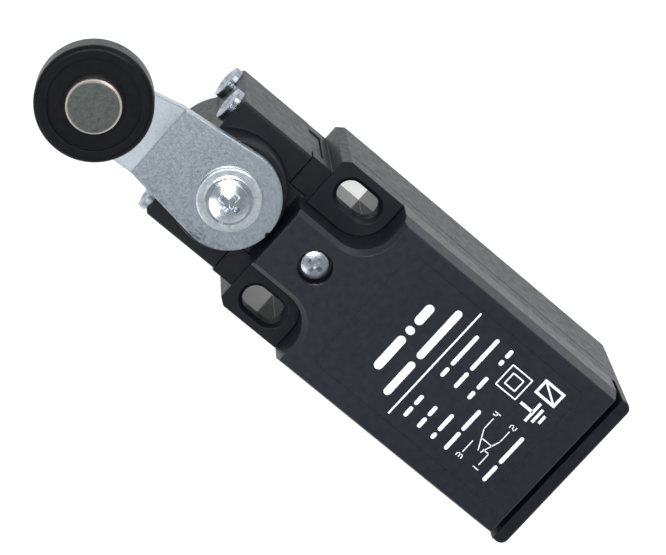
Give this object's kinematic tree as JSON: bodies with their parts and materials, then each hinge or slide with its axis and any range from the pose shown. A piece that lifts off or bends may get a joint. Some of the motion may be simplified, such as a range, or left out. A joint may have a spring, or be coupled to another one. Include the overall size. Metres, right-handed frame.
{
  "type": "limit switch",
  "caption": "Compact plastic limit switch with a cranked roller lever, two fixing slots, a screwed cover and a tapped cable entry in its end.",
  "frame": {"origin": "on the flat back face, midway between the two fixing slots", "axes": "+X to the right of the switch seen from the front, +Y along the body to the head and lever, +Z out of the back face to the front"},
  "size_m": [0.03, 0.1037, 0.0398],
  "materials": {
    "body_plastic": "satin black moulded plastic",
    "cover_plastic": "satin black moulded plastic",
    "head_plastic": "satin black moulded plastic",
    "roller_plastic": "smooth black plastic",
    "gasket_rubber": "soft black rubber",
    "screw_steel": "bright plated steel",
    "shaft_steel": "turned steel",
    "spring_steel": "spring wire",
    "lever_zinc": "zinc-plated sheet",
    "pin_steel": "turned steel with a bright edge",
    "terminal_steel": "plated steel",
    "bush_brass": "sintered bearing metal",
    "contact_brass": "contact strip",
    "plunger_plastic": "natural white plastic",
    "block_plastic": "light grey moulded plastic"
  },
  "bodies": {
    "housing": {"base_housing": "body_plastic", "front_cover": "cover_plastic", "cover_gasket": "gasket_rubber", "cover_screw": "screw_steel", "head_housing": "head_plastic", "head_gasket": "gasket_rubber", "head_screws": "screw_steel", "shaft_bush": "bush_brass", "shaft_seal": "gasket_rubber", "plunger_return_spring": "spring_steel", "contact_block_housing": "block_plastic", "contact_block_cover": "block_plastic", "contact_block_screws": "terminal_steel", "contact_return_spring": "spring_steel", "nc_fixed_contacts": "contact_brass", "no_fixed_contacts": "contact_brass", "terminal_screws": "terminal_steel", "terminal_clamps": "terminal_steel"},
    "lever": {"lever_shaft": "shaft_steel", "shaft_retaining_ring": "shaft_steel", "lever_plate": "lever_zinc", "lever_washer": "screw_steel", "lever_spring_washer": "screw_steel", "lever_screw": "screw_steel", "roller_pin": "pin_steel"},
    "roller": {"roller": "roller_plastic"},
    "plunger": {"head_plunger": "plunger_plastic"},
    "carrier": {"contact_carrier": "plunger_plastic", "nc_contact_bridge": "contact_brass", "no_contact_bridge": "contact_brass"}
  },
  "joints": [
    {"name": "lever_swing", "type": "hinge", "parent": "housing", "child": "lever", "pos_m": [0, 0.0166, 0.0277], "axis": [0, 0, 1], "range_deg": [-75, 75], "stiffness_Nm_per_rad": 0.1},
    {"name": "roller_spin", "type": "hinge", "parent": "lever", "child": "roller", "pos_m": [0, 0.0425, 0.0357], "axis": [0, 0, 1], "continuous": true},
    {"name": "plunger_slide", "type": "slide", "parent": "housing", "child": "plunger", "axis": [0, -1, 0], "range_m": [0, 0.003], "stiffness_N_per_m": 600, "springref_m": -0.003, "deforming": ["plunger_return_spring"]},
    {"name": "carrier_slide", "type": "slide", "parent": "housing", "child": "carrier", "axis": [0, -1, 0], "range_m": [0, 0.003], "stiffness_N_per_m": 200, "springref_m": -0.003, "deforming": ["contact_return_spring"]}
  ],
  "couplings": [
    {"joint": "carrier_slide", "follows": "plunger_slide", "ratio": 1}
  ]
}
